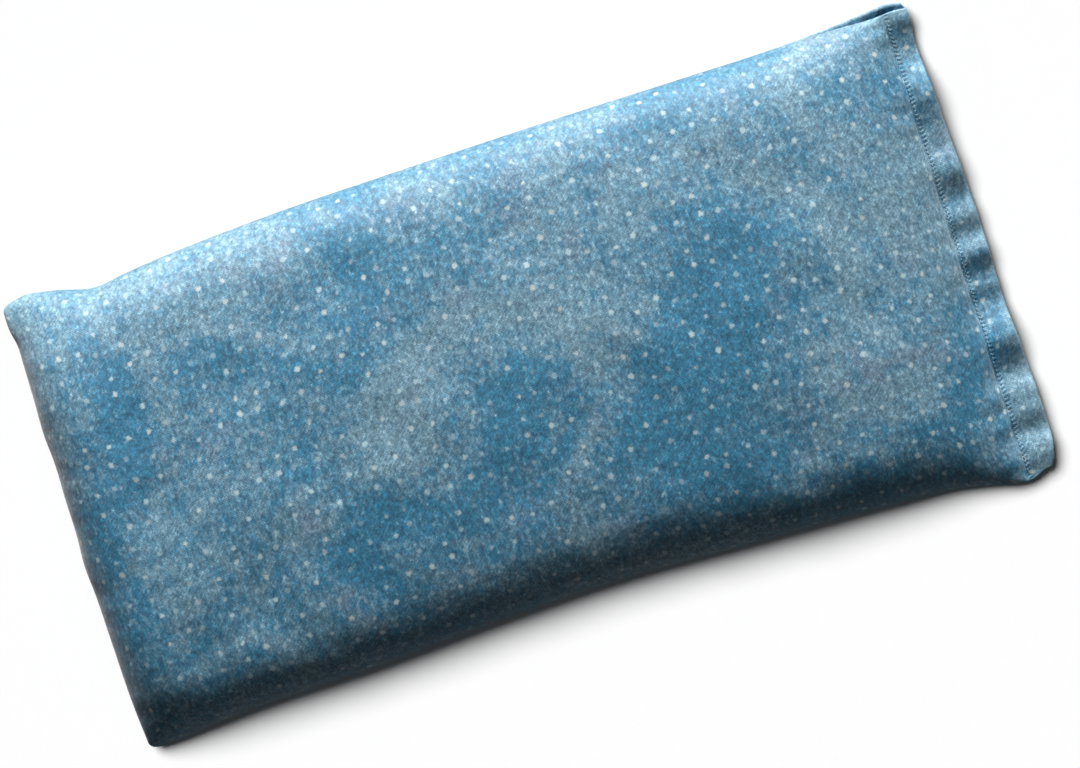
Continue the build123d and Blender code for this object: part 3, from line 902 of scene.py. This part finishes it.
def thread(name, colour):
    """Spun thread: two twisted plies with painted shade in the groove between them, and stray fibres."""
    n = Nodes(name)
    uv = n.add("UVMap", uv_map="cloth")
    split = n.add("SeparateXYZ", {0: uv})
    turn = n.math("MULTIPLY_ADD", split, 3200.0, n.math("MULTIPLY", split.node.outputs[1], 2 * math.pi))
    ply = n.math("ABSOLUTE", n.math("SINE", turn))
    place = n.add("TexCoord", out=3)
    fuzz = n.noise(place, 5200.0, 3.0, 0.7)
    tone = n.noise(place, 260.0, 2.0)
    groove_shade_and_dark_tone = tuple(c * 0.55 for c in colour[:3]) + (1.0,)
    lighter = tuple(min(c * 1.25, 1) for c in colour[:3]) + (1.0,)
    # painted shade in the groove between the two plies
    base = n.mix(n.band(ply, 0.05, 0.75), groove_shade_and_dark_tone, colour)
    base = n.mix(n.band(fuzz, 0.45, 0.75, 0.0, 0.6), base, lighter)
    base = n.mix(n.band(tone, 0.35, 0.65, 0.0, 0.3), base, groove_shade_and_dark_tone)
    height = n.math("MULTIPLY_ADD", fuzz, 0.5, ply)
    bump = n.add("Bump", {"Height": height, "Strength": 0.7, "Distance": 0.05 * MM})
    rough = n.math("MULTIPLY_ADD", fuzz, 0.25, 0.5)
    return n.finished({"Base Color": base, "Roughness": rough, "Normal": bump, "Sheen Weight": 0.3})


def flaxseed():
    """Glossy brown seeds packed together, each its own shade, with painted shade in the gaps between them."""
    n = Nodes("flaxseed")
    place = n.add("TexCoord", out=3)
    stretched = n.add("VectorMath", {0: place, 1: (0.62, 1.0, 0.8)}, operation="MULTIPLY")
    cells = n.add("TexVoronoi", {"Vector": stretched, "Scale": 420.0, "Randomness": 0.9}).node
    shade = n.add("SeparateXYZ", {0: cells.outputs["Color"]})
    base = n.mix(shade, (0.16, 0.07, 0.025, 1.0), (0.38, 0.20, 0.08, 1.0))
    # painted shade in the gaps between the seeds
    base = n.mix(n.band(cells.outputs["Distance"], 0.32, 0.62), base, (0.03, 0.012, 0.006, 1.0))
    dust = n.noise(place, 900.0, 3.0)
    base = n.mix(n.band(dust, 0.55, 0.75, 0.0, 0.25), base, (0.55, 0.38, 0.22, 1.0))
    bump = n.add("Bump", {"Height": cells.outputs["Distance"], "Strength": 1.0, "Distance": 0.5 * MM}).node
    bump.invert = True
    rough = n.band(dust, 0.3, 0.7, 0.22, 0.5)
    return n.finished({"Base Color": base, "Roughness": rough, "Normal": bump.outputs[0], "Coat Weight": 0.3})


def lavender():
    """Dry grey-violet buds with a greenish base and fine hairs."""
    n = Nodes("lavender")
    place = n.add("TexCoord", out=3)
    blotch = n.noise(place, 420.0, 3.0)
    hair = n.noise(place, 3200.0, 4.0, 0.7)
    base = n.mix(n.band(blotch, 0.4, 0.62), (0.13, 0.10, 0.24, 1.0), (0.26, 0.26, 0.20, 1.0))
    base = n.mix(n.band(hair, 0.52, 0.72, 0.0, 0.7), base, (0.50, 0.46, 0.58, 1.0))
    bump = n.add("Bump", {"Height": hair, "Strength": 0.6, "Distance": 0.12 * MM})
    return n.finished({"Base Color": base, "Roughness": 0.85, "Normal": bump, "Sheen Weight": 0.5})


def floor_material():
    """Smooth pale paper. It is bright to look at and throws little light back on the pillow."""
    n = Nodes("pale_paper")
    place = n.add("TexCoord", out=3)
    grain = n.noise(place, 240.0, 4.0)
    seen = n.mix(grain, (0.95, 0.95, 0.95, 1.0), (0.97, 0.97, 0.97, 1.0))
    camera = n.add("LightPath", out=0)
    base = n.mix(camera, (0.04, 0.04, 0.04, 1.0), seen)
    return n.finished({"Base Color": base, "Roughness": 0.95, "Specular IOR Level": 0.0})


# ---- build
def dress(obj, material, slot, *nodes):
    """Gives a piece its material and its body, and hides the CAD nodes it stands for. slot is not used."""
    obj.data.materials.clear()
    obj.data.materials.append(material)
    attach(obj, "root")
    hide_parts(*nodes)
    return obj


FOLDS = settled_folds()
front = dress(panel("front_cover", 1), cotton("printed_cotton_front"), "front_cotton", "front_panel")
back = dress(panel("back_cover", -1), cotton("printed_cotton_back"), "back_cotton", "back_panel")
closing_thread = thread("closing_thread", (0.20, 0.38, 0.50, 1.0))
seam_thread = thread("seam_thread", (0.45, 0.50, 0.56, 1.0))
pieces = [front, back]
for label, side in (("needle", 1), ("bobbin", -1)):
    stitched = closing_stitches(f"closing_{label}_stitches", side)
    pieces.append(dress(stitched, closing_thread, "closing_thread", f"closing_{label}_thread"))
    stitched = hidden_stitches(f"seam_{label}_stitches", side)
    pieces.append(dress(stitched, seam_thread, "seam_thread", f"seam_{label}_thread"))
seed = dress(seed_filling("flaxseed_filling"), flaxseed(), "flaxseed", "flaxseed_fill")
bud_points, bud_faces = scattered(bud_shape(0.0), bud_places())
buds = dress(tidied(make_mesh("lavender_bud_pieces", bud_points, bud_faces), 0.001), lavender(), "lavender",
             "lavender_buds")
pieces += [seed, buds]


# ---- floor, light and camera
FLOOR_HALF, FLOOR_GAP = 3000.0, 0.01
KEY_HEADING, KEY_ELEVATION, KEY_STRENGTH = (0.12, 0.99), math.radians(20), 6.4
BACKDROP_LIGHT, BACKDROP_SEEN = 0.042, 0.99
CAMERA_AT = (1.9, -2.1, 1200.0)
CAMERA_FOCUS, CAMERA_FIELD = 12, 248.7  # a height, and how wide the frame is there
CAMERA_ROLL = 17.5  # degrees
SENSOR = 36


def only_for(light, name, objects):
    """Limits a light to some objects, and gives their collection."""
    group = bpy.data.collections.new(name)
    for obj in objects:
        group.objects.link(obj)
    light.light_linking.receiver_collection = group
    return group


def sun(name, towards, strength, softness):
    """A distant white light that shines from a direction. Its softness is in degrees."""
    data = bpy.data.lights.new(name, "SUN")
    data.energy, data.angle = strength, math.radians(softness)
    obj = bpy.data.objects.new(name, data)
    obj.rotation_euler = Vector(towards).to_track_quat("Z", "Y").to_euler()
    bpy.context.scene.collection.objects.link(obj)
    return obj


corners = ((-1, -1), (1, -1), (1, 1), (-1, 1))
corners = [(sx * FLOOR_HALF, sy * FLOOR_HALF, FLOOR - FLOOR_GAP) for sx, sy in corners]
floor = make_mesh("floor", corners, [(0, 1, 2, 3)])
floor.data.materials.append(floor_material())

# The key light comes low from behind, so that the front side is dark, as in the photograph.
level = math.cos(KEY_ELEVATION)
key = sun("key", (KEY_HEADING[0] * level, KEY_HEADING[1] * level, math.sin(KEY_ELEVATION)), KEY_STRENGTH, 38)
only_for(key, "lit_by_key", pieces)
front_fill = sun("front_fill", (0.15, -1.0, -0.16), 0.13, 40)
front_fill.light_linking.blocker_collection = only_for(front_fill, "lit_by_front_fill", pieces)
paper_light = sun("paper_light", (-0.38, 0.50, 1.0), 3.68, 36)
only_for(paper_light, "lit_by_paper_light", [floor])

# The backdrop is nearly white to the camera and gives little light.
world = bpy.data.worlds.new("studio")
world.use_nodes = True
bpy.context.scene.world = world
tree = world.node_tree
path = tree.nodes.new("ShaderNodeLightPath")
blend = tree.nodes.new("ShaderNodeMix")
blend.inputs[2].default_value, blend.inputs[3].default_value = BACKDROP_LIGHT, BACKDROP_SEEN
tree.links.new(path.outputs["Is Camera Ray"], blend.inputs[0])
tree.links.new(blend.outputs[0], tree.nodes["Background"].inputs["Strength"])
tree.nodes["Background"].inputs["Color"].default_value = (1.0, 1.0, 1.0, 1.0)

# The camera looks straight down, turned so that the pillow's length rises to the right.
camera_data = bpy.data.cameras.new("camera")
camera_data.sensor_width = SENSOR
camera_data.lens = SENSOR * (CAMERA_AT[2] - CAMERA_FOCUS) / CAMERA_FIELD
camera_data.clip_start, camera_data.clip_end = 0.01, 20
camera = bpy.data.objects.new("camera", camera_data)
camera.location = [value * MM for value in CAMERA_AT]
camera.rotation_euler = (0, 0, math.radians(-CAMERA_ROLL))
bpy.context.scene.collection.objects.link(camera)
bpy.context.scene.camera = camera
bpy.context.scene.view_settings.view_transform = "Standard"
